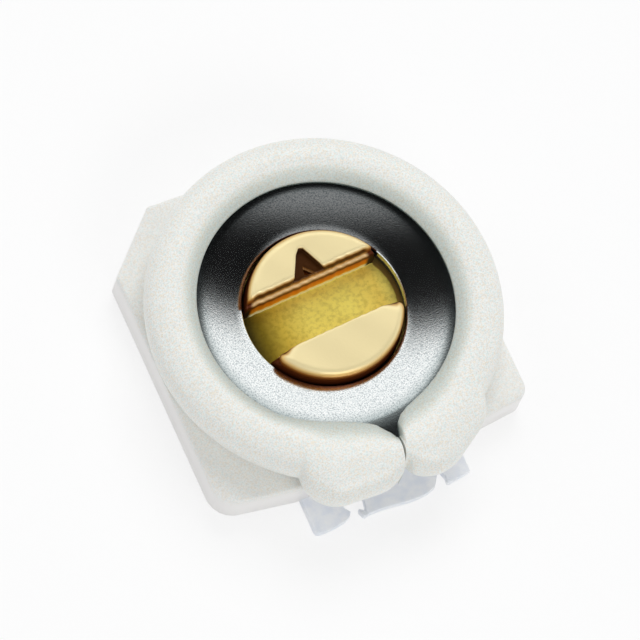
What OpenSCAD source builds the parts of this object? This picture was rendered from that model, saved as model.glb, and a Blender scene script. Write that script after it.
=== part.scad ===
// Surface-mount ceramic trimmer capacitor: a moulded case with a split retaining ring,
// a dished cover plate, a slotted brass driver and two sheet terminals.
// Origin: on the driver's axis, in the plane of the terminal soles. The split of the ring faces -Y.

/* [Case] */
// Outer diameter of the retaining ring
ring_d = 4.00; // [3.95:0.01:4.10]
// Height of the ring's crest above the board
ring_top = 1.21; // [1.20:0.01:1.25]
// Outer corner radius of the ring's section
ring_round = 0.30; // [0.26:0.01:0.34]
// Radius of the crown between the crest and the lip
crown_r = 0.36; // [0.34:0.01:0.42]
// Diameter inside the ring's lip
lip_d = 2.88; // [2.84:0.01:2.94]
// Width of the base plate across X
base_w = 3.77; // [3.75:0.01:3.84]
// Distance from the axis to the back edge of the base
base_back = 1.94; // [1.90:0.01:1.98]
// Distance from the axis to the front edge of the base, under the split
base_front = 1.72; // [1.70:0.01:1.76]
// Height of the base plate's top above the board
base_top = 0.49; // [0.47:0.01:0.52]
// Gap between the board and the underside of the case
standoff = 0.05; // [0.03:0.01:0.07]
// Size of the chamfers on the rear left and rear right corners
rear_cut = [0.66, 0.92]; // [0.50:0.01:1.00]
// Radius of the front left and front right corners of the base
corner_r = [0.30, 0.16]; // [0.10:0.01:0.40]

/* [Split] */
// Radius of the two swollen ends of the ring
lobe_r = 0.44; // [0.42:0.01:0.46]
// Height of the lobes' underside above the board
lobe_bottom = 0.46; // [0.44:0.01:0.48]
// Width of the split between the two ends
split_w = 0.05; // [0.03:0.01:0.08]
// Lean of the split, seen from above
split_lean = 10; // [6:1:12]

/* [Cover plate] */
// Thickness of the cover plate
cover_t = 0.10; // [0.08:0.01:0.11]
// Diameter over the cover plate's rim
cover_d = 3.46; // [3.40:0.01:3.46]
// Height of the plate's flat rim, top face
cover_rim_top = 1.07; // [1.05:0.01:1.08]
// Height of the plate's inner edge, top face
cover_hole_top = 0.95; // [0.93:0.01:0.98]

/* [Driver] */
// Diameter of the slotted head
head_d = 1.84; // [1.78:0.01:1.86]
// Height of the head's top face
head_top = 1.13; // [1.11:0.01:1.16]
// Radius on the head's rim
head_round = 0.09; // [0.05:0.01:0.12]
// Width of the screwdriver slot
slot_w = 0.66; // [0.50:0.01:0.70]
// Direction of the slot, from +X
slot_angle = 3; // [-10:1:20]
// Diameter of the driver's shaft
shaft_d = 0.70; // [0.66:0.01:0.72]

/* [Rotor stack] */
// Height of the chamber floor, where the stator electrode lies
floor_z = 0.46; // [0.45:0.01:0.46]
// Thickness of the ceramic rotor disc
disc_t = 0.12; // [0.10:0.01:0.13]
// Diameter of the ceramic rotor disc
disc_d = 2.70; // [2.60:0.01:2.80]
// Thickness of the silver film on the rotor disc
film_t = 0.02; // [0.01:0.005:0.02]

/* [Terminals] */
// Thickness of the terminal sheet
sheet_t = 0.10; // [0.08:0.01:0.10]
// Distance from the axis to the tips of the front fingers
front_tip = 2.14; // [2.05:0.01:2.20]
// Distance from the axis to the tip of the rear tab
rear_tip = 2.19; // [2.05:0.01:2.20]
// Width of the rear tab
rear_w = 0.64; // [0.50:0.01:0.80]

/* [Hidden] */
$fn = 64;
eps = 0.01;

// Chamber and groove inside the ring
chamber_r = 1.50;
groove_r = cover_d / 2 + 0.01;
groove_floor = cover_rim_top - cover_t;
crest_r = ring_d / 2 - ring_round;
foot_r = ring_d / 2 - 0.20;
foot_fillet = 0.08;
bore_r = shaft_d / 2 + 0.03;

// Middle of the split between the ring's ends
split_at = [0.085, -1.87];

// Driver levels, from the stack below it
disc_top = floor_z + disc_t;
flange_z = disc_top + film_t;
flange_t = 0.11;
flange_r = 1.15;
slot_floor = flange_z + flange_t;
head_r = head_d / 2;

// Recess under the case for the eye, the spring and the staked end
recess_r = 0.80;
eye_r = 0.74;
eye_z = 0.18;
recess_top = eye_z + sheet_t;
stake_r = 0.50;
stake_z = 0.02;
stake_t = 0.09;

// Screen the two halves of the capacitor apart
electrode_r = 1.28;
electrode_in = 0.56;
electrode_gap = 0.06;

function unit(v) = v / norm(v);
function half_angle(a, p, b) = acos(max(-1, min(1, unit(a - p) * unit(b - p)))) / 2;

// Convex outline whose corner i is a true arc of radius radii[i].
module round_poly(points, radii) {
    n = len(points);
    ends = [for (i = [0 : n - 1])
        let (p = points[i], a = points[(i + n - 1) % n], b = points[(i + 1) % n],
             t = radii[i] / tan(half_angle(a, p, b)))
        each [p + t * unit(a - p), p + t * unit(b - p)]];
    polygon(ends);
    for (i = [0 : n - 1]) if (radii[i] > 0) {
        p = points[i];
        a = points[(i + n - 1) % n];
        b = points[(i + 1) % n];
        h = half_angle(a, p, b);
        translate(p + radii[i] / sin(h) * unit(unit(a - p) + unit(b - p))) circle(radii[i]);
    }
}

// Outline of the base plate: chamfered at the back, rounded at the front.
module base_outline() {
    w = base_w / 2;
    lean = 0.13;
    round_poly(
        [[-w, -base_front + lean], [-0.96, -base_front], [0.96, -base_front],
         [w, -base_front + lean], [w, base_back - rear_cut[1]], [w - rear_cut[1], base_back],
         [-w + rear_cut[0], base_back], [-w, base_back - rear_cut[0]]],
        [corner_r[0], 0, 0, corner_r[1], 0.06, 0.06, 0.06, 0.06]);
}

// Radial section of the ring: round outer edge, flat crown and a thin lip over the groove.
module ring_section() {
    foot = base_top - 0.09;
    difference() {
        union() {
            translate([crest_r, ring_top - ring_round]) circle(ring_round);
            intersection() {
                translate([crest_r, ring_top - crown_r]) circle(crown_r);
                translate([lip_d / 2, foot]) square([crest_r - lip_d / 2, ring_top]);
            }
            polygon([[crest_r, foot], [foot_r, foot], [foot_r, base_top + foot_fillet],
                     [ring_d / 2, ring_top - ring_round], [crest_r, ring_top - ring_round]]);
            difference() {
                translate([foot_r - eps, foot]) square([foot_fillet + eps, base_top + foot_fillet - foot]);
                translate([foot_r + foot_fillet, base_top + foot_fillet]) circle(foot_fillet);
            }
        }
        translate([0, groove_floor]) square([groove_r, cover_t + 0.005]);
        square([chamber_r, groove_floor + eps]);
    }
}

// Half section of a lobe: a wide crown with a rolled edge, drawn in towards its underside.
module lobe_section(r) {
    edge = 0.30;
    top = ring_top - 0.01;
    translate([0, lobe_bottom]) square([r - edge, top - lobe_bottom]);
    polygon([[0, lobe_bottom], [r - 0.14, lobe_bottom], [r - 0.10, lobe_bottom + 0.08], [r, top - edge],
             [0, top - edge]]);
    translate([r - edge, top - edge]) intersection() { circle(edge); square(edge); }
}

// Swollen end of the ring: two round pads joined by a straight bar along X.
module lobe(start, length) {
    for (x = [0, length]) translate(start + [x, 0]) rotate_extrude() lobe_section(lobe_r);
    translate(start) rotate([90, 0, 90]) linear_extrude(length) {
        lobe_section(lobe_r);
        mirror([1, 0]) lobe_section(lobe_r);
    }
}

// The V between the rounded inner corners of the lobes.
module notch_outline() {
    difference() {
        polygon([[-0.16, -1.30], [0.48, -1.30], [0.14, -1.72], [0.08, -1.72]]);
        translate([-0.19, -1.70]) circle(0.29);
        translate([0.42, -1.70]) circle(0.30);
    }
}

// Sheet-metal step in the plane of travel and height: high leg, web, low leg.
module joggle(start, web, tip, high, low, t, r) {
    translate([start, high]) square([web - r - start, t]);
    translate([web, low + t + r]) square([t, high - low - t - 2 * r]);
    translate([web + t + r, low]) square([tip - web - t - r, t]);
    translate([web - r, high - r]) intersection() { ring2d(r, t); square(r + t); }
    translate([web + t + r, low + t + r]) rotate(180) intersection() { ring2d(r, t); square(r + t); }
}

module ring2d(r, t) {
    difference() { circle(r + t); circle(r); }
}

// Extrudes a travel-and-height profile across X and turns its travel to -Y or +Y.
module across(width, toward_front) {
    rotate(toward_front ? -90 : 90) rotate([90, 0, 0])
        linear_extrude(width, center = true) children();
}

// Half-moon seen from above, on the front side of the axis.
module half_moon() {
    difference() {
        circle(electrode_r);
        circle(electrode_in);
        translate([-2, -electrode_gap]) square([4, 4]);
    }
}

// Plan of the stator terminal outside the half-moon: a neck, then three fingers.
module finger_plan() {
    root = -1.52;
    translate([-0.70, root]) square([1.40, 0.62]);
    translate([-0.92, -1.84]) square([1.93, 0.34]);
    tip = -front_tip;
    polygon([[-0.92, -1.80], [-0.47, -1.80], [-0.49, -1.94], [-0.44, tip + 0.10], [-0.54, tip + 0.02],
             [-0.67, tip], [-0.86, tip], [-0.92, tip + 0.03]]);
    polygon([[-0.24, -1.80], [0.66, -1.80], [0.66, -1.94], [0.55, tip + 0.01], [0.24, tip],
             [-0.27, tip + 0.01], [-0.33, tip], [-0.35, tip + 0.08], [-0.29, tip + 0.10]]);
    polygon([[0.70, -1.80], [1.01, -1.80], [1.01, tip + 0.07], [0.71, tip + 0.02]]);
}

module stator_solid() {
    translate([0, 0, floor_z - sheet_t]) linear_extrude(sheet_t) half_moon();
    intersection() {
        across(3, true) joggle(1.0, 1.38, front_tip + 0.1, floor_z - sheet_t, 0, sheet_t, 0.06);
        linear_extrude(1) finger_plan();
    }
}

module rotor_terminal_solid() {
    difference() {
        union() {
            translate([0, 0, eye_z]) cylinder(r = eye_r, h = sheet_t);
            across(rear_w, false) joggle(0, 0.95, rear_tip, eye_z, 0, sheet_t, 0.035);
        }
        translate([0, 0, -eps]) cylinder(r = bore_r, h = 1);
    }
}

module case() {
    color([0.87, 0.87, 0.84]) difference() {
        union() {
            translate([0, 0, standoff]) linear_extrude(base_top - standoff) base_outline();
            rotate_extrude($fn = 128) ring_section();
            lobe([-0.62, -1.75], 0.36);
            lobe([0.46, -1.75], 0.16);
            translate([0.80, -1.55]) rotate_extrude() lobe_section(lobe_r - 0.01);
        }
        translate([0, 0, floor_z]) cylinder(r = chamber_r, h = groove_floor - floor_z);
        translate([0, 0, groove_floor]) cylinder(r = groove_r, h = cover_t + 0.005);
        translate([0, 0, groove_floor]) cylinder(r = lip_d / 2, h = 1);
        cylinder(r = bore_r, h = 1);
        cylinder(r = recess_r, h = recess_top);
        translate([0, 0, groove_floor]) linear_extrude(1) notch_outline();
        translate([split_at[0], split_at[1], base_top]) rotate(-split_lean)
            translate([-split_w / 2, -0.5, 0]) cube([split_w, 1.1, 1]);
        stator_solid();
        rear_channel();
    }
}

// Room under the case for the rear tab and the rise to its eye.
module rear_channel() {
    w = rear_w + 0.04;
    translate([-w / 2, 0, 0]) cube([w, base_back + 1, sheet_t]);
    translate([-w / 2, 0, 0]) cube([w, 1.06, recess_top]);
}

module cover_plate() {
    hole_r = head_r + 0.05;
    bend_r = lip_d / 2 - 0.02;
    color([0.70, 0.72, 0.73]) rotate_extrude($fn = 128) polygon([
        [hole_r, cover_hole_top - cover_t], [bend_r, groove_floor], [cover_d / 2, groove_floor],
        [cover_d / 2, cover_rim_top], [bend_r, cover_rim_top], [hole_r, cover_hole_top]]);
}

// Struck arrow on the back segment of the head, open to the slot, with a deeper core.
module arrow_pit() {
    foot = slot_w / 2 - 0.02;
    translate([0, 0, head_top - 0.12]) linear_extrude(1)
        polygon([[-0.02, 0.69], [0.04, 0.68], [0.14, 0.40], [0.15, foot], [-0.20, foot], [-0.20, 0.42],
                 [-0.09, 0.56]]);
    translate([0, 0, head_top - 0.26]) linear_extrude(1)
        polygon([[-0.04, 0.53], [0.10, 0.40], [0.08, foot], [-0.08, foot]]);
}

// Screwdriver slot with a small chamfer along both edges, milled along X.
module slot_cut() {
    ease = 0.03;
    half = slot_w / 2;
    rotate([90, 0, 90]) linear_extrude(4, center = true)
        polygon([[-half, slot_floor], [half, slot_floor], [half, head_top - ease],
                 [half + ease + eps, head_top + eps], [-half - ease - eps, head_top + eps],
                 [-half, head_top - ease]]);
}

module driver() {
    color([0.84, 0.70, 0.36]) difference() {
        rotate_extrude() {
            square([shaft_d / 2, flange_z + eps]);
            translate([0, stake_z + 0.04]) square([stake_r, stake_t - 0.04]);
            translate([0, stake_z]) square([stake_r - 0.04, stake_t]);
            translate([stake_r - 0.04, stake_z + 0.04]) circle(0.04);
            translate([0, flange_z]) square([flange_r, flange_t]);
            translate([0, flange_z]) square([head_r, head_top - head_round - flange_z]);
            translate([0, flange_z]) square([head_r - head_round, head_top - flange_z]);
            translate([head_r - head_round, head_top - head_round]) intersection() {
                circle(head_round);
                square(head_round);
            }
        }
        rotate(slot_angle) {
            slot_cut();
            arrow_pit();
        }
    }
}

module seal_ring() {
    r = 0.065;
    color([0.12, 0.12, 0.13]) rotate_extrude()
        translate([head_r + r + 0.01, slot_floor + r]) circle(r);
}

module rotor_disc() {
    color([0.55, 0.42, 0.30]) translate([0, 0, floor_z]) difference() {
        cylinder(d = disc_d, h = disc_t);
        translate([0, 0, -eps]) cylinder(r = shaft_d / 2, h = 1);
    }
}

module rotor_electrode() {
    color([0.80, 0.80, 0.78]) translate([0, 0, disc_top]) linear_extrude(film_t) difference() {
        union() {
            rotate(slot_angle) mirror([0, 1]) half_moon();
            circle(electrode_in + 0.1);
        }
        circle(shaft_d / 2);
    }
}

module stator_terminal() {
    color([0.80, 0.82, 0.86]) stator_solid();
}

module rotor_terminal() {
    color([0.80, 0.82, 0.86]) rotor_terminal_solid();
}

// Conical spring washer between the eye and the staked end of the shaft.
module spring_washer() {
    t = 0.035;
    inner = shaft_d / 2 + 0.02;
    outer = 0.62;
    low = stake_z + stake_t;
    color([0.66, 0.64, 0.58]) rotate_extrude() polygon([
        [inner, low], [outer, eye_z - t], [outer, eye_z], [inner, low + t]]);
}

case();
cover_plate();
driver();
seal_ring();
rotor_disc();
rotor_electrode();
stator_terminal();
rotor_terminal();
spring_washer();
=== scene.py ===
from math import atan2, cos, pi, radians, sin, tan

import bmesh
import bpy
import numpy as np
from mathutils import Matrix, Vector


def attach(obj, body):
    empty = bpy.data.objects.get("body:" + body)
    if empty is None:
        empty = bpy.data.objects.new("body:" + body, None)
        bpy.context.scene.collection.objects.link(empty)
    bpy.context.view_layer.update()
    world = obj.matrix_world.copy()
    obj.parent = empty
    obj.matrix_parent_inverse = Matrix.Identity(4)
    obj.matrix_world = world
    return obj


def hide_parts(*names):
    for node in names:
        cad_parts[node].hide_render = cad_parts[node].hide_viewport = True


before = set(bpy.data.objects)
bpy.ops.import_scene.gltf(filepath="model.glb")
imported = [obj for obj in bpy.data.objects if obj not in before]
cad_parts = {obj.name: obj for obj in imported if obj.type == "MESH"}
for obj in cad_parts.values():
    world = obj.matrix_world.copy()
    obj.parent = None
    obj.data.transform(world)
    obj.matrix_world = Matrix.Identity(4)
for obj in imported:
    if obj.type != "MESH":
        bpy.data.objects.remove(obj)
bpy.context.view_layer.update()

MM = 0.001               # lengths are in millimetres until a mesh or a socket gets them
FULL_TURN = 2 * pi
scene = bpy.context.scene

# ---------------------------------------------------------------- meshes


def add_mesh(name, verts, faces, material, crease=35.0):
    """A smooth-shaded object from millimetre vertices; edges sharper than crease stay sharp."""
    mesh = bpy.data.meshes.new(name)
    mesh.from_pydata((np.asarray(verts, float) * MM).tolist(), [], [tuple(f) for f in faces])
    mesh.validate()
    bm = bmesh.new()
    bm.from_mesh(mesh)
    bmesh.ops.recalc_face_normals(bm, faces=bm.faces)
    bm.to_mesh(mesh)
    bm.free()
    mesh.shade_smooth()
    mesh.set_sharp_from_angle(angle=radians(crease))
    obj = bpy.data.objects.new(name, mesh)
    scene.collection.objects.link(obj)
    obj.data.materials.append(material)
    return obj


def grid_faces(rows, cols, wrap_rows=True):
    """Quads of a grid of rows x cols points; the columns close, and the rows may."""
    faces = []
    for i in range(rows if wrap_rows else rows - 1):
        k = (i + 1) % rows
        for j in range(cols):
            m = (j + 1) % cols
            faces.append((i * cols + j, k * cols + j, k * cols + m, i * cols + m))
    return faces


def arc(cx, cz, r, start, end, count=7):
    """Points of an arc in the section plane, angles in degrees from the first axis."""
    return [(cx + r * cos(t), cz + r * sin(t)) for t in np.radians(np.linspace(start, end, count))]


def revolve(name, section, material, segments=192, crease=35.0):
    """Turns a closed (r, z) section about the driver's axis."""
    section = np.array(section)
    angle = np.arange(segments) * FULL_TURN / segments
    x = section[None, :, 0] * np.sin(angle)[:, None]
    y = -section[None, :, 0] * np.cos(angle)[:, None]
    z = np.repeat(section[None, :, 1], segments, axis=0)
    verts = np.stack([x, y, z], axis=-1).reshape(-1, 3)
    return add_mesh(name, verts, grid_faces(segments, len(section)), material, crease)


def surface_net(field, low, high, cell):
    """Quads on the zero level of a signed distance field, one vertex to each crossed cell."""
    axes = [np.arange(a, b + cell, cell) for a, b in zip(low, high)]
    values = field(*np.meshgrid(*axes, indexing="ij"))
    inside = values < 0
    corners = [(i, j, k) for i in (0, 1) for j in (0, 1) for k in (0, 1)]
    shape = tuple(n - 1 for n in values.shape)

    def at(grid, corner):
        return grid[tuple(slice(c, c + n) for c, n in zip(corner, shape))]

    total = sum(at(inside, c).astype(np.int8) for c in corners)
    active = (total > 0) & (total < len(corners))
    index = -np.ones(shape, np.int64)
    index[active] = np.arange(active.sum())

    # Each vertex is the mean of the crossings on its cell's edges
    points = np.zeros((active.sum(), 3))
    weight = np.zeros(active.sum())
    for corner in corners:
        for axis in (a for a in range(3) if not corner[a]):
            far = list(corner)
            far[axis] = 1
            va, vb = at(values, corner)[active], at(values, far)[active]
            cut = (va < 0) != (vb < 0)
            p = np.tile(np.array(corner, float), (len(va), 1))
            p[:, axis] = np.where(cut, va / np.where(cut, va - vb, 1.0), 0.0)
            points[cut] += p[cut]
            weight += cut
    verts = np.array(low) + (np.argwhere(active) + points / weight[:, None]) * cell

    # Each grid edge that crosses the surface joins the vertices of its four cells
    faces = []
    for axis in range(3):
        one, two = np.eye(3, dtype=int)[[(axis + 1) % 3, (axis + 2) % 3]]
        window = [slice(1, n) for n in shape]
        window[axis] = slice(0, shape[axis])
        here = inside[tuple(window)]
        window[axis] = slice(1, shape[axis] + 1)
        ahead = inside[tuple(window)]
        for found, flip in ((here & ~ahead, False), (~here & ahead, True)):
            q = np.argwhere(found) + one + two
            quad = [index[tuple(p.T)] for p in (q, q - one, q - one - two, q - two)]
            faces.append(np.stack(quad[::-1] if flip else quad, axis=1))
    return settle(field, verts, cell), np.vstack(faces)


def settle(field, verts, cell):
    """Moves the vertices onto the field's zero level along its gradient."""
    e = cell * 0.05
    for _ in range(3):
        x, y, z = verts.T
        value = field(x, y, z)
        grad = np.stack([field(x + e, y, z) - field(x - e, y, z),
                         field(x, y + e, z) - field(x, y - e, z),
                         field(x, y, z + e) - field(x, y, z - e)], axis=1) / (2 * e)
        slope = np.maximum((grad ** 2).sum(axis=1), 0.25)
        move = (value / slope)[:, None] * grad
        verts = verts - np.clip(move, -cell * 0.5, cell * 0.5)
    return verts


def smooth_max(a, b, k):
    """The larger of two values, rounded over where they cross."""
    h = np.clip(0.5 + 0.5 * (a - b) / k, 0.0, 1.0)
    return b + (a - b) * h + k * h * (1.0 - h)


def smooth_step(value, low, high):
    """0 below low, 1 above high, with an even rise between."""
    t = min(1.0, max(0.0, (value - low) / (high - low)))
    return t * t * (3 - 2 * t)


# ---------------------------------------------------------------- camera

# The photograph's camera, in millimetres; it aims a little beside the driver's axis
CAMERA_TURN, CAMERA_RISE, CAMERA_ROLL = radians(-45.3827), radians(66.3694), radians(23.1459)
CAMERA_AWAY, FOCAL_LENGTH, SENSOR_WIDTH = 84.302, 428.03, 36.0
AIM_RIGHT, AIM_UP, AIM_HEIGHT = 0.0931, 0.19706, 0.05
CLIP_NEAR_M, CLIP_FAR_M = 0.001, 10.0


def place_camera():
    back = Vector((sin(CAMERA_TURN) * cos(CAMERA_RISE), -cos(CAMERA_TURN) * cos(CAMERA_RISE),
                   sin(CAMERA_RISE)))
    level = Vector((cos(CAMERA_TURN), sin(CAMERA_TURN), 0.0))
    above = back.cross(level)
    right = cos(CAMERA_ROLL) * level + sin(CAMERA_ROLL) * above
    up = -sin(CAMERA_ROLL) * level + cos(CAMERA_ROLL) * above
    aim = right * AIM_RIGHT + up * AIM_UP + Vector((0.0, 0.0, AIM_HEIGHT))
    data = bpy.data.cameras.new("camera")
    data.sensor_width = SENSOR_WIDTH
    data.lens = FOCAL_LENGTH
    data.clip_start, data.clip_end = CLIP_NEAR_M, CLIP_FAR_M
    camera = bpy.data.objects.new("camera", data)
    turned = Matrix((right, up, back)).transposed().to_4x4()
    camera.matrix_world = Matrix.Translation((aim + back * CAMERA_AWAY) * MM) @ turned
    scene.collection.objects.link(camera)
    scene.camera = camera


place_camera()
scene.view_settings.view_transform = "Standard"

# ---------------------------------------------------------------- case

RING_R, CREST, WIDEST = 2.0, 1.21, 0.91
LIP_TOP, LIP_UNDER, LIP_ROUND = 1.10, 1.075, 0.012
BASE_TOP, UNDERSIDE, FOOT_R, FILLET, BASE_ROUND = 0.49, 0.05, 1.81, 0.08, 0.045
CHAMBER_R, GROOVE_R, FLOOR, LEDGE, BORE_R = 1.50, 1.74, 0.46, 0.97, 0.38
RECESS_R, RECESS_TOP = 0.80, 0.28
# The tab's channel under the back: half width, the distance of its deep end, its height
TAB_HALF, TAB_DEEP, TAB_TOP = 0.34, 1.06, 0.10
BACK_EDGE = 1.94
# The split between the ring's ends: its angle, half width, lean for each mm of radius, and floor
SPLIT_AT, SPLIT_HALF, SPLIT_LEAN, SPLIT_FLOOR = radians(2.6), radians(0.36), radians(-6.9), 0.60
# The ring's two swollen ends: each a row of discs from the first point to the second
LOBE_R, LOBE_DISCS = 0.435, 17
LOBES = [(-0.62, -1.745, -0.24, -1.755), (0.475, -1.765, 0.80, -1.545)]
# The lip's radius on either side of the split, by the angle in degrees from the front
LIP_LEFT = ([-180, -45, -32, -22, -16, -10, -5.3, -2.4, -0.3, 1.6, 2.9],
            [1.44, 1.435, 1.40, 1.388, 1.39, 1.42, 1.46, 1.505, 1.576, 1.64, 1.71])
LIP_RIGHT = ([4.5, 5.2, 6.2, 9.0, 13.2, 18, 30, 180],
             [1.71, 1.65, 1.566, 1.50, 1.462, 1.446, 1.44, 1.44])
# Corners of the base plate: x, y and the radius of the corner
BASE_CORNERS = [
    (-1.885, -1.60, 0.30), (-0.96, -1.725, 0), (0.96, -1.71, 0), (1.885, -1.59, 0.16),
    (1.885, 1.02, 0.07), (0.965, 1.94, 0.07), (-1.225, 1.94, 0.05), (-1.885, 1.28, 0.05)]


def round_outline(corners, steps=7):
    """Dense points of a convex outline whose corner i is an arc of the third number's radius."""
    points = []
    for i, (x, y, r) in enumerate(corners):
        p = np.array((x, y))
        a = np.array(corners[i - 1][:2]) - p
        b = np.array(corners[(i + 1) % len(corners)][:2]) - p
        a, b = a / np.linalg.norm(a), b / np.linalg.norm(b)
        half = 0.5 * np.arccos(np.clip(a @ b, -1, 1))
        if r == 0:
            points.append(p)
            continue
        mid = p + (a + b) / np.linalg.norm(a + b) * r / sin(half)
        s, e = p + a * r / tan(half) - mid, p + b * r / tan(half) - mid
        for t in np.linspace(0, 1, steps):
            v = s * (1 - t) + e * t
            points.append(mid + v / np.linalg.norm(v) * r)
    return np.array(points)


outline = round_outline(BASE_CORNERS)
outline_angle = np.arctan2(outline[:, 0], -outline[:, 1])


def ray(angle):
    """Directions in plan; angles run from the front towards +X."""
    return np.stack([np.sin(angle), -np.cos(angle)], axis=-1)


def base_radius(angle):
    """Distance from the axis to the base's edge along each ray."""
    order = np.argsort(outline_angle)
    ring = outline[order]
    ring = np.vstack([ring[-1], ring, ring[0]])
    key = outline_angle[order]
    key = np.concatenate([[key[-1] - FULL_TURN], key, [key[0] + FULL_TURN]])
    k = np.clip(np.searchsorted(key, angle, side="right") - 1, 0, len(key) - 2)
    p, d = ring[k], ray(angle)
    e = ring[k + 1] - p
    return (p[:, 0] * e[:, 1] - p[:, 1] * e[:, 0]) / (d[:, 0] * e[:, 1] - d[:, 1] * e[:, 0])


def circle_far(angle, cx, cy, r):
    """Far crossing of each ray with a circle, 0 where it misses."""
    d = ray(angle)
    along = d[:, 0] * cx + d[:, 1] * cy
    inside = along ** 2 - (cx * cx + cy * cy - r * r)
    hit = (inside > 0) & (along > 0)
    return np.where(hit, along + np.sqrt(np.maximum(inside, 0)), 0.0)


def lobe_radius(angle, side, radius):
    """Outer edge of a lobe along each ray."""
    x0, y0, x1, y1 = LOBES[side]
    best = np.zeros_like(angle)
    for t in np.linspace(0, 1, LOBE_DISCS):
        here = circle_far(angle, x0 + (x1 - x0) * t, y0 + (y1 - y0) * t, radius)
        best = np.maximum(best, here)
    return best


def circular_mean(values, angle, reach):
    """Values averaged over the neighbours within reach of each angle."""
    out = np.empty_like(values)
    share = np.gradient(angle).clip(1e-4, 0.02)
    for i, a in enumerate(angle):
        d = np.abs((angle - a + pi) % FULL_TURN - pi)
        w = np.clip(1 - d / reach, 0, 1) * share
        out[i] = (values * w).sum() / w.sum()
    return out


def lean(angle, r):
    """How far a column near the split turns with the radius, to follow the split's lean."""
    away = np.abs(np.degrees(angle - SPLIT_AT))
    window = np.clip((27.0 - away) / 24.0, 0.0, 1.0)
    window = window * window * (3 - 2 * window)
    return SPLIT_LEAN * (np.clip(r, 1.40, 2.1) - 1.87) * window


def lip_radius(angle, side):
    """Radius of the lip along each column, found by steps because the column leans with it."""
    knots, radii = LIP_RIGHT if side else LIP_LEFT
    r = np.full_like(angle, 1.5)
    for _ in range(12):
        r = 0.5 * r + 0.5 * np.interp(np.degrees(angle + lean(angle, r)), knots, radii)
    return r


def columns():
    """Angles of the section's columns, and whether each is in the split or the tab's channel."""
    coarse = np.arange(-180, 180, 1.0)
    front = np.arange(-42, 42, 0.25)
    rear = np.concatenate([np.arange(-180, -160, 0.5), np.arange(160, 180, 0.5)])
    angle = np.radians(np.concatenate([coarse[np.abs(coarse) > 42], front, rear]))
    angle = np.unique(np.round(np.concatenate([angle, outline_angle]), 7))
    tab = atan2(TAB_HALF, -BACK_EDGE)
    left, right = SPLIT_AT - SPLIT_HALF, SPLIT_AT + SPLIT_HALF
    keep = [a for a in angle if min(abs(a - m) for m in (left, right, tab, -tab)) > radians(0.1)]
    keep = [a for i, a in enumerate(keep) if i == 0 or a - keep[i - 1] > radians(0.04)]
    rows = [(a, left < a < right, abs(a) > tab) for a in keep]
    # Two columns stand on each wall, one to either side of it
    hair = 1e-7
    rows += [(left - hair, False, False), (left + hair, True, False),
             (right - hair, True, False), (right + hair, False, False),
             (tab - hair, False, False), (tab + hair, False, True),
             (-tab - hair, False, True), (-tab + hair, False, False)]
    return [np.array(part) for part in zip(*sorted(rows))]


def rear_turn(angle, r):
    """Angles of the underside's columns at radius r; they give the channel parallel sides."""
    b = pi - np.abs(angle)
    first, last = atan2(TAB_HALF, BACK_EDGE), radians(60)
    corner = np.arcsin(TAB_HALF / r)
    across = TAB_HALF * np.tan(np.minimum(b, first)) / tan(first)
    inside = np.arcsin(np.clip(across / r, 0, 1))
    outside = corner + (b - first) * (last - corner) / (last - first)
    return np.sign(angle) * (pi - np.where(b <= first, inside, np.where(b < last, outside, b)))


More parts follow.
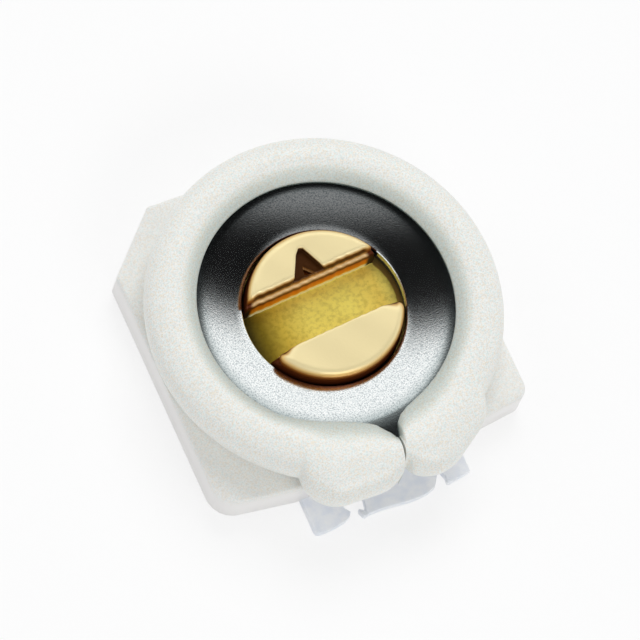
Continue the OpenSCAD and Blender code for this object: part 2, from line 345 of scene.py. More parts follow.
class CaseSection:
    """The case's section at every column, as rings of points that run from the bore over the
    crest and back under the base. Each ring says where it is, because the split and the channel
    cut it there: in (inside), groove, crown, top, side (the base's wall), and underneath it low,
    mouth, deep and rim."""

    def __init__(self):
        self.angle, self.split, self.channel = columns()
        self.side = (self.angle > SPLIT_AT).astype(int)
        self.base_r = base_radius(self.angle)
        self.lip = np.where(self.side, lip_radius(self.angle, 1), lip_radius(self.angle, 0))
        self.rings = []

    def put(self, r, z, where="top"):
        even = [np.broadcast_to(np.asarray(v, float), self.angle.shape).copy() for v in (r, z)]
        self.rings.append((*even, where))

    def lobe_edge(self, lobe_r):
        turned = self.angle + lean(self.angle, 2.0)
        left, right = (lobe_radius(turned, side, lobe_r) for side in (0, 1))
        return np.where(self.side, right, left)

    def swell(self, ring_r, lobe_r, soft):
        """The ring's radius, or the lobes' where they stand further out."""
        return smooth_max(np.full_like(self.angle, ring_r), self.lobe_edge(lobe_r), soft)

    def inside_rings(self):
        self.put(BORE_R, RECESS_TOP, "in")
        for r in (BORE_R, 0.8, 1.2, CHAMBER_R):
            self.put(r, FLOOR, "in")
        self.put(CHAMBER_R, SPLIT_FLOOR, "in")
        self.put(CHAMBER_R, LEDGE, "groove")
        self.put(GROOVE_R, LEDGE, "groove")
        self.put(GROOVE_R, LIP_UNDER, "groove")
        for back in (0.05, LIP_ROUND):
            self.put(self.lip + back, LIP_UNDER, "groove")
        self.put(self.lip, LIP_UNDER + LIP_ROUND, "groove")

    def crown_rings(self):
        """A thin lip, a full curve up to the crest, and the rolled outer edge."""
        widest = self.swell(RING_R, LOBE_R, 0.05)
        even = circular_mean(widest, self.angle, radians(7))
        crest_r = self.lip + 0.50 * (even - self.lip)
        for t in np.linspace(0, 1, 20):
            r = self.lip + (crest_r - self.lip) * (0.02 + 0.98 * t ** 1.15)
            self.put(r, LIP_TOP + (CREST - LIP_TOP) * (1 - (1 - t ** 1.15) ** 2.1), "crown")
        for t in np.linspace(0, 90, 19)[1:]:
            a = radians(t)
            r = crest_r + (widest - crest_r) * sin(a) ** 0.92
            z = WIDEST + (CREST - WIDEST) * cos(a) ** 0.80 if t < 89.9 else WIDEST
            self.put(r, z, "crown")

    def foot_rings(self):
        """The curl in to the foot and its fillet; returns where the base's top begins."""
        for t in np.linspace(0, 1, 9)[1:]:
            z = WIDEST + (BASE_TOP + FILLET - WIDEST) * t
            ring_r = RING_R + (FOOT_R - RING_R) * t ** 1.7
            r = self.swell(ring_r, LOBE_R - 0.11 * t ** 1.7, 0.03)
            self.put(r, z, "crown" if z > SPLIT_FLOOR else "top")
        for a in np.radians([200, 220, 240, 255, 270]):
            under = LOBE_R - 0.13 - 0.03 * sin(a) ** 2
            r = self.swell(FOOT_R + FILLET + FILLET * cos(a), under, 0.03)
            self.put(r, BASE_TOP + FILLET + FILLET * sin(a))
        return np.maximum(FOOT_R + FILLET, self.lobe_edge(under))

    def base_rings(self, inner):
        """The base's top and its rounded edge, which tucks under the lobes that stand over it."""
        base_r, edge = self.base_r, BASE_ROUND
        over = np.clip((inner - base_r + edge) / 0.06, 0, 1)
        for t in (0.33, 0.66, 1.0):
            r = inner + (base_r - edge - inner) * t * (1 - over) - 0.012 * over * t
            self.put(r, BASE_TOP - 0.008 * over * t)
        tucked = [(0.0, 0.475), (0.35, 0.468), (0.8, 0.466), (1.0, 0.455)]
        for a, (t, z) in zip(np.radians([65, 40, 15, 0]), tucked):
            free_r, free_z = base_r - edge + edge * cos(a), BASE_TOP - edge * (1 - sin(a))
            under_r = inner - 0.02 + (base_r - inner + 0.02) * t
            self.put(free_r * (1 - over) + under_r * over, free_z * (1 - over) + z * over)
        for back, z in ((0, 0.40), (0, UNDERSIDE + 0.03), (0.008, UNDERSIDE + 0.008),
                        (0.03, UNDERSIDE)):
            self.put(base_r - back, z, "side")

    def underside_rings(self):
        for r, where in ((1.5, "low"), (1.2, "low"), (TAB_DEEP, "mouth"), (TAB_DEEP, "deep"),
                         (0.9, "deep"), (RECESS_R, "deep")):
            self.put(r, UNDERSIDE, where)
        self.put(RECESS_R, RECESS_TOP, "rim")
        self.put(0.6, RECESS_TOP, "in")

    def end_drop(self):
        """How far the ring's crown rounds down to the split."""
        ends = np.abs(self.angle - SPLIT_AT) - SPLIT_HALF
        ends = np.where(ends < 0, 0, ends) * 1.9
        return 0.014 * np.clip(1 - ends / 0.05, 0, 1) ** 2

    def ring_points(self, r, z, where):
        """The ring's points in space, with the split and the channel cut in."""
        if where in ("groove", "crown"):
            z = np.where(z > 1.0, z - self.end_drop(), z)
            z = np.where(self.split, np.minimum(z, SPLIT_FLOOR), z)
        if where == "groove":
            r = np.where(self.split, CHAMBER_R, r)
        angle = self.angle
        if where in ("groove", "crown", "top", "side"):
            angle = angle + lean(angle, r)
        x, y = r * np.sin(angle), -r * np.cos(angle)
        if where in ("low", "mouth", "deep", "rim"):
            end_wall = where in ("mouth", "deep") and r[0] > 1.0
            reach = np.full_like(angle, np.hypot(TAB_HALF, TAB_DEEP)) if end_wall else r
            turned = rear_turn(angle, reach)
            x, y = reach * np.sin(turned), -reach * np.cos(turned)
            y = np.where(self.channel & end_wall, TAB_DEEP, y)
        if where in ("low", "mouth", "side"):
            z = np.where(self.channel & (z < TAB_TOP), TAB_TOP, z)
        if where == "deep":
            z = np.where(self.channel, RECESS_TOP, z)
        return np.stack([x, y, z], axis=-1)


def case_shell(material):
    """Base, ring, split and channel as one closed skin."""
    section = CaseSection()
    section.inside_rings()
    section.crown_rings()
    section.base_rings(section.foot_rings())
    section.underside_rings()
    verts = np.stack([section.ring_points(*ring) for ring in section.rings], axis=1)
    faces = grid_faces(*verts.shape[:2])
    return add_mesh("case_shell", verts.reshape(-1, 3), faces, material, 40.0)


# ---------------------------------------------------------------- cover plate and seal

COVER_R, COVER_HOLE, COVER_BEND, COVER_THICK = 1.73, 0.918, 1.42, 0.10
COVER_TOP, COVER_LOW = 1.07, 0.95


def cover_plate(material):
    """The dished plate: a cone that drops to a round hole, and a flat rim under the lip."""
    r, hole, top, low, t = COVER_R, COVER_HOLE, COVER_TOP, COVER_LOW, COVER_THICK
    section = [(hole, low - 0.012), (hole + 0.008, low - 0.002), (hole + 0.020, low + 0.002)]
    for s in np.linspace(0.08, 0.94, 12):
        sag = 0.006 * sin(pi * s)
        section.append((hole + (COVER_BEND - hole) * s, low + (top - low) * s - sag))
    section += [(COVER_BEND + 0.03, top - 0.001), (1.60, top), (r - 0.01, top), (r, top - 0.01),
                (r, top - t + 0.01), (r - 0.01, top - t), (COVER_BEND, top - t),
                (hole + 0.012, low - t), (hole, low - t + 0.012)]
    return revolve("cover_plate_dish", section, material, 288, 30.0)


def seal_ring(material):
    section = arc(0.995, 0.775, 0.065, 0, 360 - 18, 20)
    return revolve("seal_ring_round", section, material, 224, 60.0)


# ---------------------------------------------------------------- driver

HEAD_R, HEAD_TOP, HEAD_FOOT, HEAD_ROUND, SLOT_FLOOR = 0.872, 1.13, 0.655, 0.085, 0.712
SLOT_TURN = radians(3)
HEAD_CELL = 0.0125
ARROW = [(0.000, 0.692), (0.042, 0.676), (0.140, 0.440), (0.165, 0.340), (-0.195, 0.340),
         (-0.185, 0.420), (-0.060, 0.630)]
ARROW_CORE = [(-0.030, 0.510), (0.075, 0.385), (-0.060, 0.405)]
ARROW_DEPTH, CORE_FLOOR = 0.085, 0.92
# Back wall of the slot, as (height, setback): a lower wall, a narrow ledge and a rounded shoulder
BACK_WALL = ([0.70, 0.90, 0.965, 0.985, 1.02, 1.06, 1.10, 1.13],
             [0.0, 0.006, 0.012, 0.040, 0.046, 0.052, 0.066, 0.090])


def polygon_distance(x, y, corners):
    """Signed distance to a polygon in plan, negative inside."""
    best = np.full(x.shape, 1e9)
    inside = np.zeros(x.shape, bool)
    for (ax, ay), (bx, by) in zip(corners, corners[1:] + corners[:1]):
        ex, ey = bx - ax, by - ay
        t = np.clip(((x - ax) * ex + (y - ay) * ey) / (ex * ex + ey * ey), 0, 1)
        best = np.minimum(best, np.hypot(x - ax - ex * t, y - ay - ey * t))
        crosses = (ay > y) != (by > y)
        inside ^= crosses & (x < ex * (y - ay) / (ey if ey else 1e-12) + ax)
    return np.where(inside, -best, best)


def head_body(u, v, r, z):
    """Signed distance of the turned disc, a little uneven on top and wider at its foot."""
    wave = (0.0035 * np.sin(u * 5.1 + 1.3) * np.cos(v * 4.3 + 0.4)
            + 0.002 * np.sin(u * 11.0 + v * 7.0))
    skirt = 0.026 * np.clip((1.00 - z) / 0.16, 0, 1)
    dr, dz = r - (HEAD_R + skirt - HEAD_ROUND), z - (HEAD_TOP - HEAD_ROUND + wave)
    outside = np.hypot(np.maximum(dr, 0), np.maximum(dz, 0))
    body = np.minimum(np.maximum(dr, dz), 0) + outside - HEAD_ROUND
    return np.maximum(body, HEAD_FOOT - z)


def head_field(x, y, z):
    """Signed distance of the slotted head, a turned disc with a milled slot and a struck arrow."""
    c, s = cos(SLOT_TURN), sin(SLOT_TURN)
    u, v = x * c + y * s, -x * s + y * c
    r = np.hypot(x, y)
    ragged = 0.004 * np.sin(u * 31.0) * np.sin(u * 13.0 + 0.7) + 0.003 * np.sin(u * 57.0 + 1.0)
    back_wall = v - (0.322 + 0.020 * u + np.interp(z, *BACK_WALL) + ragged * 0.7)
    front_wall = -v - (0.300 - 0.030 * u + 0.5 * ragged)
    floor = (SLOT_FLOOR + 0.0025 * np.sin(u * 9 + v * 12)) - z
    slot = np.maximum(np.maximum(back_wall, front_wall), floor)
    # The front edge is worn round towards the rim
    worn = (np.clip((-v - 0.1) / 0.1, 0, 1) * np.clip((r - 0.62) / 0.16, 0, 1)
            * np.clip((z - 0.9) / 0.1, 0, 1))
    out = smooth_max(head_body(u, v, r, z), -slot, 0.024 + 0.12 * worn)
    pit = polygon_distance(u, v, ARROW) + 0.30 * (z - HEAD_TOP + 0.02)
    struck = np.maximum(pit, HEAD_TOP - ARROW_DEPTH - z)
    out = smooth_max(out, -struck, 0.034)
    core = np.maximum(polygon_distance(u, v, ARROW_CORE), CORE_FLOOR - z)
    return smooth_max(out, -core, 0.014)


def driver_head(material):
    low, high = (-0.925, -0.925, 0.63), (0.925, 0.925, 1.155)
    verts, faces = surface_net(head_field, low, high, HEAD_CELL)
    return add_mesh("driver_head", verts, faces.tolist(), material, 180.0)


def driver_stem(material):
    """Flange under the cover plate, shaft and staked end."""
    section = [(0.0, 0.02), (0.44, 0.02), (0.475, 0.03), (0.495, 0.045), (0.50, 0.065),
               (0.495, 0.09), (0.47, 0.108), (0.35, 0.11), (0.35, 0.60), (1.14, 0.60), (1.15, 0.61),
               (1.15, 0.70), (1.14, 0.71), (0.90, 0.71), (0.60, 0.705), (0.0, 0.705)]
    return revolve("driver_stem", section, material, 144, 30.0)


# ---------------------------------------------------------------- terminals

SHEET = 0.10
BENT_SHEET = 0.097       # a little thinner, so that no face of a bent strip lies in another's face
ELECTRODE_Z = 0.358
MOON_OUT, MOON_IN = 1.27, 0.57


def sheet_piece(name, plan, lift, material, cell=0.02):
    """A sheet cut to a plan outline, with eased edges, whose points lift(x, y, z) then bends."""
    bm = bmesh.new()
    face = bm.faces.new([bm.verts.new((x, y, 0.0)) for x, y in plan])
    out = bmesh.ops.extrude_face_region(bm, geom=[face])
    for v in out["geom"]:
        if isinstance(v, bmesh.types.BMVert):
            v.co.z = SHEET
    bmesh.ops.recalc_face_normals(bm, faces=bm.faces)
    flat = [e for e in bm.edges if abs(e.verts[0].co.z - e.verts[1].co.z) < 1e-6]
    bmesh.ops.bevel(bm, geom=flat, offset=0.014, segments=3, affect="EDGES", profile=0.6)
    for axis in (0, 1):
        normal = Vector((1, 0, 0) if axis == 0 else (0, 1, 0))
        reach = [p[axis] for p in plan]
        for at in np.arange(min(reach) + cell, max(reach), cell):
            geom = bm.verts[:] + bm.edges[:] + bm.faces[:]
            bmesh.ops.bisect_plane(bm, geom=geom, plane_co=normal * at, plane_no=normal)
    # Sorted, because Blender's own order of vertices and faces changes from run to run
    ordered = sorted(bm.verts, key=lambda v: tuple(v.co))
    verts = [lift(*v.co) for v in ordered]
    rank = {v: i for i, v in enumerate(ordered)}
    faces = []
    for f in bm.faces:
        loop = [rank[v] for v in f.verts]
        first = loop.index(min(loop))
        faces.append(loop[first:] + loop[:first])
    bm.free()
    return add_mesh(name, verts, sorted(faces), material, 50.0)


def path_sheet(name, width, path, material, across=10):
    """A strip bent along a path of (y, z) points at mid thickness, with its width along X."""
    path = np.array(path)
    d = np.gradient(path, axis=0)
    d /= np.linalg.norm(d, axis=1)[:, None]
    n = np.stack([-d[:, 1], d[:, 0]], axis=1)
    half, ease, w = BENT_SHEET / 2, 0.012, width / 2
    ring = [(-w, -half + ease), (-w + ease, -half)]
    ring += [(x, -half) for x in np.linspace(-w + 3 * ease, w - 3 * ease, across)]
    ring += [(w - ease, -half), (w, -half + ease)]
    ring += [(x, -z) for x, z in reversed(ring)]
    verts = [(x, p[0] + m[0] * t, p[1] + m[1] * t) for p, m in zip(path, n) for x, t in ring]
    count = len(ring)
    faces = grid_faces(len(path), count, wrap_rows=False)
    faces += [tuple(range(count)), tuple(reversed(range(len(verts) - count, len(verts))))]
    return add_mesh(name, verts, faces, material, 40.0)


def lie_left(x, y, z):
    sag = 0.006 * sin(3.1 * x + 1.0) * smooth_step(-y, 1.8, 2.1)
    return x, y, z + (sag + 0.006) * 10 * z


def lie_middle(x, y, z):
    curl = smooth_step(-y, 2.02, 2.16) * smooth_step(-x, 0.22, 0.36)
    return x, y, z * (1 + 0.06 * curl) + 0.06 * curl


def lie_right(x, y, z):
    curl = smooth_step(-y, 1.98, 2.12) * smooth_step(0.76 - x, 0.0, 0.08)
    return x, y, z + 0.04 * curl


def lie_band(x, y, z):
    """A hair thinner than the fingers, so that their faces don't meet."""
    return x, y, z * 0.96 + 0.002


def lie_moon(x, y, z):
    return x, y, z + ELECTRODE_Z


# Plan outlines of the flat pieces, x and y
FINGERS = [
    ("stator_finger_left", lie_left, [
        (-0.905, -1.56), (-0.47, -1.56), (-0.47, -1.86), (-0.50, -1.93), (-0.485, -1.99),
        (-0.44, -2.045), (-0.475, -2.095), (-0.54, -2.125), (-0.68, -2.148), (-0.80, -2.158),
        (-0.86, -2.156), (-0.895, -2.14), (-0.908, -2.10)]),
    ("stator_finger_middle", lie_middle, [
        (-0.235, -1.56), (0.665, -1.56), (0.66, -1.93), (0.635, -2.00), (0.59, -2.07),
        (0.555, -2.115), (0.46, -2.145), (0.34, -2.158), (0.24, -2.160), (0.07, -2.145),
        (-0.11, -2.134), (-0.25, -2.138), (-0.32, -2.165), (-0.345, -2.15), (-0.355, -2.09),
        (-0.345, -2.05), (-0.315, -2.07), (-0.285, -2.09), (-0.262, -2.04), (-0.245, -1.96)]),
    ("stator_finger_right", lie_right, [
        (0.685, -1.56), (1.01, -1.56), (1.012, -2.00), (1.010, -2.075), (0.90, -2.095),
        (0.83, -2.108), (0.735, -2.125), (0.705, -2.115), (0.72, -2.05), (0.70, -1.98)]),
]
BAND = [(-0.905, -1.58), (1.01, -1.58), (1.01, -1.84), (-0.905, -1.84)]
MOON = [(MOON_OUT * cos(a), MOON_OUT * sin(a)) for a in map(radians, range(-177, -2, 5))]
MOON += [(MOON_IN * cos(a), MOON_IN * sin(a)) for a in map(radians, range(-6, -175, -8))]
# Paths of the bent strips, y and z
WEB = [(-1.05, 0.41), *arc(-1.32, 0.30, 0.11, 90, 180), *arc(-1.54, 0.16, 0.11, 0, -90),
       (-1.60, 0.05), (-1.66, 0.05)]
TAB = [(2.18, 0.05), (2.05, 0.05), (1.6, 0.05), (1.2, 0.05),
       *arc(1.085, 0.135, 0.085, -90, -180)[1:], *arc(0.915, 0.145, 0.085, 0, 90),
       (0.80, 0.23), (0.55, 0.23)]
# Sections of the turned pieces, r and z
EYE = [(0.38, 0.192), (0.392, 0.18), (0.73, 0.18), (0.742, 0.192), (0.742, 0.268), (0.73, 0.28),
       (0.392, 0.28), (0.38, 0.268)]
WASHER = [(0.372, 0.114), (0.61, 0.147), (0.62, 0.152), (0.62, 0.176), (0.61, 0.178),
          (0.372, 0.145)]


# ---------------------------------------------------------------- materials


class Nodes:
    """A node tree, with short ways to add nodes, set their sockets and link them."""

    def __init__(self, tree):
        self.tree = tree
        self.parts = None

    def add(self, kind, sockets=None, **settings):
        node = self.tree.nodes.new(kind)
        for key, value in settings.items():
            setattr(node, key, value)
        for key, value in (sockets or {}).items():
            node.inputs[key].default_value = value
        return node

    def link(self, source, target):
        self.tree.links.new(source, target)

    def math(self, operation, a, b):
        m = self.add("ShaderNodeMath", operation=operation)
        self.link(a, m.inputs[0])
        self.link(b, m.inputs[1])
        return m.outputs[0]

    def span(self, value, low, high, to_low=0.0, to_high=1.0, even=False):
        """Carries low..high to to_low..to_high, with soft ends unless even."""
        m = self.add("ShaderNodeMapRange", {"From Min": low, "From Max": high, "To Min": to_low,
                                            "To Max": to_high},
                     interpolation_type="LINEAR" if even else "SMOOTHSTEP")
        self.link(value, m.inputs["Value"])
        return m.outputs["Result"]

    def axis(self, name):
        """The object's own X, Y or Z, in metres."""
        if self.parts is None:
            place = self.add("ShaderNodeTexCoord").outputs["Object"]
            self.parts = self.add("ShaderNodeSeparateXYZ")
            self.link(place, self.parts.inputs[0])
        return self.parts.outputs[name]

    def seen(self):
        """1 for rays from the camera, off metal or through glass, and 0 for all others."""
        path = self.add("ShaderNodeLightPath")
        seen = path.outputs["Is Camera Ray"]
        for other in ("Is Glossy Ray", "Is Transmission Ray"):
            seen = self.math("MAXIMUM", seen, path.outputs[other])
        return seen

    def mix_shaders(self, factor, a, b, out):
        mix = self.add("ShaderNodeMixShader")
        for source, socket in ((factor, 0), (a, 1), (b, 2)):
            self.link(source, mix.inputs[socket])
        self.link(mix.outputs[0], out.inputs["Surface"])


class Shader(Nodes):
    """A surface material; every number is a constant on its own socket."""

    def __init__(self, name, color, roughness, metallic=0.0, specular=0.5):
        self.material = bpy.data.materials.new(name)
        self.material.use_nodes = True
        super().__init__(self.material.node_tree)
        self.inputs = self.tree.nodes["Principled BSDF"].inputs
        self.inputs["Base Color"].default_value = (*color, 1.0)
        self.inputs["Roughness"].default_value = roughness
        self.inputs["Metallic"].default_value = metallic
        self.inputs["Specular IOR Level"].default_value = specular
        self.relief = None

    def paint(self, color):
        self.link(color, self.inputs["Base Color"])

    def noise(self, size, detail=2.0, roughness=0.5, stretch=None):
        """Noise whose grains are about size millimetres across."""
        place = self.add("ShaderNodeTexCoord").outputs["Object"]
        if stretch:
            m = self.add("ShaderNodeMapping", {"Scale": stretch})
            self.link(place, m.inputs["Vector"])
            place = m.outputs["Vector"]
        n = self.add("ShaderNodeTexNoise", {"Scale": 1.0 / (size * MM), "Detail": detail,
                                            "Roughness": roughness})
        self.link(place, n.inputs["Vector"])
        return n.outputs["Fac"]

    def ramp(self, factor, stops):
        """Colours over a factor; each stop is (position, colour)."""
        r = self.add("ShaderNodeValToRGB")
        elements = r.color_ramp.elements
        while len(elements) < len(stops):
            elements.new(0.5)
        for item, (position, color) in zip(elements, stops):
            item.position = position
            item.color = (*color, 1.0)
        self.link(factor, r.inputs["Fac"])
        return r.outputs["Color"]

    def mix(self, factor, a, b, blend="MIX"):
        m = self.add("ShaderNodeMix", data_type="RGBA", blend_type=blend)
        for value, socket in ((factor, m.inputs[0]), (a, m.inputs[6]), (b, m.inputs[7])):
            if isinstance(value, (int, float)):
                socket.default_value = value
            elif isinstance(value, tuple):
                socket.default_value = (*value, 1.0)
            else:
                self.link(value, socket)
        return m.outputs[2]

    def radius(self):
        """Distance from the part's own axis."""
        flat = self.add("ShaderNodeCombineXYZ")
        for name in "XY":
            self.link(self.axis(name), flat.inputs[name])
        length = self.add("ShaderNodeVectorMath", operation="LENGTH")
        self.link(flat.outputs["Vector"], length.inputs[0])
        return length.outputs["Value"]

    def upward(self):
        """How far the surface faces up, 1 on a level face and 0 on a wall."""
        split = self.add("ShaderNodeSeparateXYZ")
        self.link(self.add("ShaderNodeTexCoord").outputs["Normal"], split.inputs[0])
        return split.outputs["Z"]

    def bump(self, height, distance, strength):
        b = self.add("ShaderNodeBump", {"Strength": strength, "Distance": distance * MM})
        self.link(height, b.inputs["Height"])
        if self.relief:
            self.link(self.relief, b.inputs["Normal"])
        self.relief = b.outputs["Normal"]
        self.link(self.relief, self.inputs["Normal"])


WHITE = (1.0, 1.0, 1.0)


def linear(r, g, b):
    """Scene colour of an 8-bit display colour."""
    return tuple((c / 255 / 12.92) if c <= 10.3 else ((c / 255 + 0.055) / 1.055) ** 2.4
                 for c in (r, g, b))


def case_plastic():
    """Moulded plastic with a fine grain, and painted shade that greys the ring's inner slope
    towards the lip.
    """
    s = Shader("case_plastic", linear(234, 235, 233), 0.36)
    speck = s.ramp(s.noise(0.016, 3.0, 0.65), [
        (0.36, linear(226, 227, 225)), (0.50, linear(240, 241, 239)),
        (0.64, linear(250, 250, 249))])
    tint = s.ramp(s.noise(0.024, 2.0, 0.6), [
        (0.36, linear(251, 244, 230)), (0.52, linear(253, 253, 252)),
        (0.68, linear(241, 252, 249))])
    grain = s.mix(1.0, speck, tint, "MULTIPLY")
    # Painted shade: grey that deepens down the crown's inner slope from near the crest to the lip,
    # only inside 1.70 to 1.84 mm from the axis
    thin = s.ramp(s.span(s.axis("Z"), 1.09 * MM, CREST * MM, even=True), [
        (0.05, (0.66, 0.70, 0.68)), (0.42, (0.70, 0.74, 0.72)), (0.63, (0.79, 0.82, 0.80)),
        (0.77, (0.89, 0.91, 0.89)), (0.90, WHITE)])
    lip = s.span(s.radius(), 1.70 * MM, 1.84 * MM)
    grain = s.mix(1.0, grain, s.mix(lip, thin, WHITE), "MULTIPLY")
    # Painted warm bounce light: from 0.62 mm down to 0.3 mm the plastic turns a plain, slightly
    # warmer white without grain
    low = s.span(s.axis("Z"), 0.30 * MM, 0.62 * MM)
    s.paint(s.mix(low, linear(242, 240, 238), grain))
    s.bump(s.noise(0.020, 3.0, 0.6), 0.0030, 0.35)
    s.bump(s.noise(0.35, 2.0, 0.5), 0.012, 0.35)
    return s.material


def satin_steel():
    """Blasted steel, with painted shade that darkens it towards its outer edge next to the lip."""
    s = Shader("satin_steel", (0.84, 0.87, 0.86), 0.18, 1.0)
    grain = s.noise(0.016, 2.0, 0.7)
    speck = s.ramp(grain, [
        (0.34, (0.52, 0.56, 0.57)), (0.50, (0.86, 0.90, 0.89)), (0.62, (1.0, 1.0, 0.98))])
    # Painted shade: the steel greys from 1.26 mm out to 1.46 mm, where the lip shades it
    edge = s.span(s.radius(), 1.26 * MM, 1.46 * MM)
    s.paint(s.mix(1.0, speck, s.mix(edge, WHITE, (0.56, 0.61, 0.61)), "MULTIPLY"))
    s.link(s.span(grain, 0.3, 0.7, 0.17, 0.10), s.inputs["Roughness"])
    s.bump(grain, 0.0015, 0.5)
    return s.material


def brass():
    """Polished on top, khaki on the slot's floor; the dark browns in the recesses and round the rim
    are painted shade and painted reflection, and the floor has a painted shadow at its left end.
    """
    s = Shader("brass", linear(238, 216, 160), 0.40, 0.30, 0.15)
    level = s.axis("Z")
    cream = linear(252, 234, 180)
    # Bands by height on the slot's walls and in the arrow's pit: the orange and tan are the brass's
    # own tone; the dark brown bands are painted shade and painted reflection, and the pale band at
    # the foot a painted highlight on the burr
    wall = s.ramp(s.span(level, 0.70 * MM, 1.16 * MM, even=True), [
        (0.11, linear(255, 248, 190)), (0.16, linear(244, 190, 70)), (0.22, linear(236, 146, 10)),
        (0.40, linear(214, 116, 2)), (0.50, linear(84, 42, 6)), (0.555, linear(160, 112, 50)),
        (0.62, linear(250, 216, 160)), (0.68, linear(190, 136, 70)), (0.74, linear(64, 34, 8)),
        (0.84, linear(104, 60, 16)), (0.885, linear(214, 172, 106)), (0.915, cream)])
    # Painted shade and painted reflection: outside 0.8 mm the head darkens from cream at the top to
    # near black lower down
    rim = s.ramp(s.span(level, 0.86 * MM, HEAD_TOP * MM, even=True), [
        (0.0, linear(36, 16, 5)), (0.50, linear(92, 40, 10)), (0.74, linear(170, 100, 30)),
        (0.88, linear(236, 194, 118)), (0.97, cream)])
    out = s.span(s.radius(), 0.775 * MM, 0.83 * MM)
    # Painted shadow: the slot's floor darkens to olive and near black towards its left end, where
    # the plate shades it
    shade = s.ramp(s.span(s.axis("X"), -0.90 * MM, 0.90 * MM, even=True), [
        (0.02, linear(40, 34, 10)), (0.12, linear(140, 120, 30)), (0.24, linear(222, 196, 76)),
        (0.42, linear(255, 238, 116)), (0.70, linear(255, 240, 120)), (0.90, linear(250, 222, 104)),
        (0.96, linear(255, 236, 120))])
    mottle = s.ramp(s.noise(0.05, 4.0, 0.65), [(0.36, linear(232, 230, 222)), (0.55, WHITE)])
    khaki = s.mix(1.0, shade, mottle, "MULTIPLY")
    on_floor = s.math("MULTIPLY", s.span(s.upward(), 0.70, 0.90),
                      s.span(level, 0.80 * MM, 0.76 * MM))
    s.paint(s.mix(on_floor, s.mix(out, wall, rim), khaki))
    s.link(s.span(level, 0.74 * MM, 1.02 * MM, 0.55, 0.36), s.inputs["Roughness"])
    s.bump(s.noise(0.030, 3.0, 0.7), 0.002, 0.4)
    return s.material


def turned_brass():
    s = Shader("turned_brass", linear(220, 184, 104), 0.34, 0.85)
    s.bump(s.noise(0.05, 3.0, 0.6), 0.002, 0.4)
    return s.material


def rubber():
    s = Shader("seal_rubber", (0.012, 0.012, 0.013), 0.55, 0.0, 0.4)
    s.bump(s.noise(0.05), 0.003, 0.5)
    return s.material


def tinned_sheet():
    s = Shader("tinned_sheet", linear(244, 247, 253), 0.42)
    s.paint(s.ramp(s.noise(0.16, 3.0, 0.6), [
        (0.35, linear(236, 241, 250)), (0.65, linear(250, 252, 255))]))
    s.bump(s.noise(0.10, 3.0, 0.6, (1.0, 0.35, 1.0)), 0.004, 0.4)
    return s.material


def ceramic():
    s = Shader("ceramic", linear(176, 138, 104), 0.5)
    s.paint(s.ramp(s.noise(0.05, 3.0), [
        (0.35, linear(160, 122, 90)), (0.65, linear(192, 154, 118))]))
    return s.material


def silver_film():
    s = Shader("silver_film", (0.80, 0.79, 0.76), 0.38, 1.0)
    s.bump(s.noise(0.04), 0.004, 0.5)
    return s.material


def spring_metal():
    s = Shader("spring_metal", (0.52, 0.50, 0.45), 0.34, 1.0)
    s.bump(s.noise(0.06, stretch=(1.0, 0.3, 1.0)), 0.004, 0.5)
    return s.material


# ---------------------------------------------------------------- build


def fit(piece, node, body, slot):
    """Puts a piece in a CAD node's place, on that node's body."""
    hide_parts(node)
    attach(piece, body)


DRIVER = ("driver", "rotor", "brass")
STATOR = ("stator_terminal", "housing", "tinned_sheet")
ROTOR_TERMINAL = ("rotor_terminal", "housing", "tinned_sheet")

fit(case_shell(case_plastic()), "case", "housing", "case_plastic")
fit(cover_plate(satin_steel()), "cover_plate", "housing", "satin_steel")
fit(seal_ring(rubber()), "seal_ring", "rotor", "seal_rubber")
fit(driver_head(brass()), *DRIVER)
fit(driver_stem(turned_brass()), *DRIVER)

tin = tinned_sheet()
for name, lift, plan in FINGERS:
    fit(sheet_piece(name, plan, lift, tin), *STATOR)
fit(path_sheet("stator_web", 1.40, WEB, tin), *STATOR)
fit(sheet_piece("stator_band", BAND, lie_band, tin), *STATOR)
fit(sheet_piece("stator_electrode", MOON, lie_moon, tin, cell=0.2), *STATOR)
fit(path_sheet("rotor_tab", 0.64, TAB, tin), *ROTOR_TERMINAL)
fit(revolve("rotor_eye", EYE, tin, 144, 30.0), *ROTOR_TERMINAL)
cone = revolve("spring_cone", WASHER, spring_metal(), 144, 30.0)
fit(cone, "spring_washer", "housing", "spring_metal")

# The disc and its film keep the CAD shape and get a material
for node, material in (("rotor_disc", ceramic()), ("rotor_electrode", silver_film())):
    slots = bpy.data.objects[node].data.materials
    slots.clear()
    slots.append(material)

# ---------------------------------------------------------------- floor and lights

FLOOR_SIZE_M, FLOOR_Z = 4.0, -0.004      # a hair below the soles, so that their faces don't meet
FLOOR_GLOW, FLOOR_GLOW_SEEN = 0.25, 0.74
WORLD_STRENGTH, WORLD_STRENGTH_SEEN = 0.46, 1.0
CARD_SIZE_M, CARD_AT_M, CARD_TURN = 3.4, (-0.348, -0.937, 1.0), radians(-20.4)
LAMP_AWAY_M = 0.6


def stage_material(name):
    """A material with an empty node tree, its nodes and its output."""
    material = bpy.data.materials.new(name)
    material.use_nodes = True
    material.node_tree.nodes.clear()
    nodes = Nodes(material.node_tree)
    return material, nodes, nodes.add("ShaderNodeOutputMaterial")


def floor_material():
    """White: part of it glows, so that it is white to the camera and still takes the shadow."""
    material, n, out = stage_material("floor")
    diffuse = n.add("ShaderNodeBsdfDiffuse", {"Color": (0.93, 0.93, 0.93, 1)})
    glow = n.add("ShaderNodeEmission", {"Color": (1, 1, 1, 1), "Strength": 1.0})
    share = n.span(n.seen(), 0.0, 1.0, FLOOR_GLOW, FLOOR_GLOW_SEEN, even=True)
    n.mix_shaders(share, diffuse.outputs[0], glow.outputs[0], out)
    return material


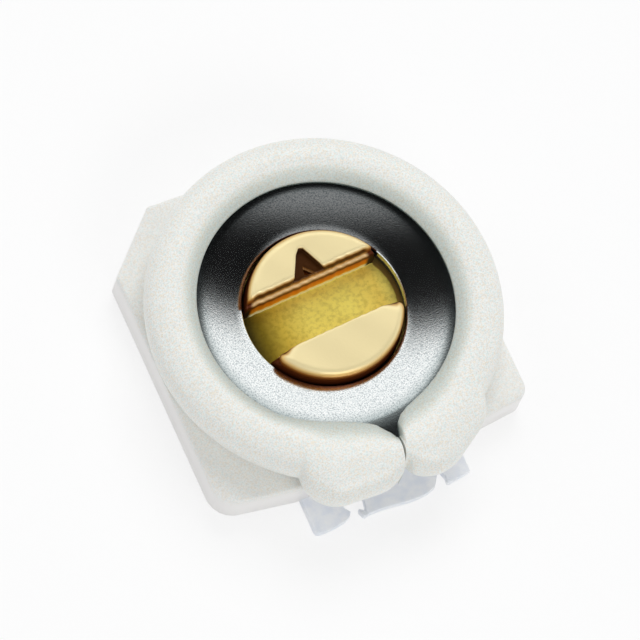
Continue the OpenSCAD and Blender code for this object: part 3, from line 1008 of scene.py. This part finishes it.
def dark_card_material():
    """A dark card with a dim grey strip at its front; it fades out towards its rear edge."""
    material, n, out = stage_material("dark_card")
    fade = n.span(n.axis("Y"), 1.42, 1.70)
    strip = n.span(n.axis("Y"), 0.86, 1.04, 0.26, 0.006)
    glow = n.add("ShaderNodeEmission", {"Color": (0.97, 0.98, 1.0, 1)})
    n.link(strip, glow.inputs["Strength"])
    clear = n.add("ShaderNodeBsdfTransparent")
    n.mix_shaders(fade, glow.outputs[0], clear.outputs[0], out)
    return material


def plane(name, size_m, material, at_m):
    half = size_m / 2
    mesh = bpy.data.meshes.new(name)
    corners = [(-half, -half, 0), (half, -half, 0), (half, half, 0), (-half, half, 0)]
    mesh.from_pydata(corners, [], [(0, 1, 2, 3)])
    obj = bpy.data.objects.new(name, mesh)
    obj.data.materials.append(material)
    obj.location = at_m
    scene.collection.objects.link(obj)
    return obj


def soft_box(name, direction, width_m, height_m, power, glossy):
    """A square lamp that faces the object from a direction."""
    data = bpy.data.lights.new(name, "AREA")
    data.shape = "RECTANGLE"
    data.size, data.size_y = width_m, height_m
    data.energy = power
    obj = bpy.data.objects.new(name, data)
    d = Vector(direction).normalized()
    obj.location = d * LAMP_AWAY_M
    obj.rotation_euler = d.to_track_quat("Z", "Y").to_euler()
    obj.visible_glossy = glossy
    scene.collection.objects.link(obj)


def studio_world():
    world = bpy.data.worlds.new("studio")
    world.use_nodes = True
    world.cycles.sampling_method = "NONE"
    n = Nodes(world.node_tree)
    background = n.tree.nodes["Background"]
    background.inputs["Color"].default_value = (0.98, 0.99, 1.0, 1)
    strength = n.span(n.seen(), 0.0, 1.0, WORLD_STRENGTH, WORLD_STRENGTH_SEEN, even=True)
    n.link(strength, background.inputs["Strength"])
    return world


plane("floor", FLOOR_SIZE_M, floor_material(), (0, 0, FLOOR_Z * MM))
scene.world = studio_world()
soft_box("key", (0.29, 0.50, 0.82), 0.34, 0.34, 1.50, glossy=False)
soft_box("side", (-0.61, 0.35, 0.71), 0.30, 0.30, 0.40, glossy=False)
soft_box("fill", (0.05, -0.78, 0.62), 0.30, 0.20, 0.85, glossy=True)

# A dark card over the front of the object, seen by glossy rays only: metal facing it looks dark
card = plane("dark_card", CARD_SIZE_M, dark_card_material(), CARD_AT_M)
card.rotation_euler = (0, 0, CARD_TURN)
card.visible_camera = False
card.visible_diffuse = False
card.visible_shadow = False
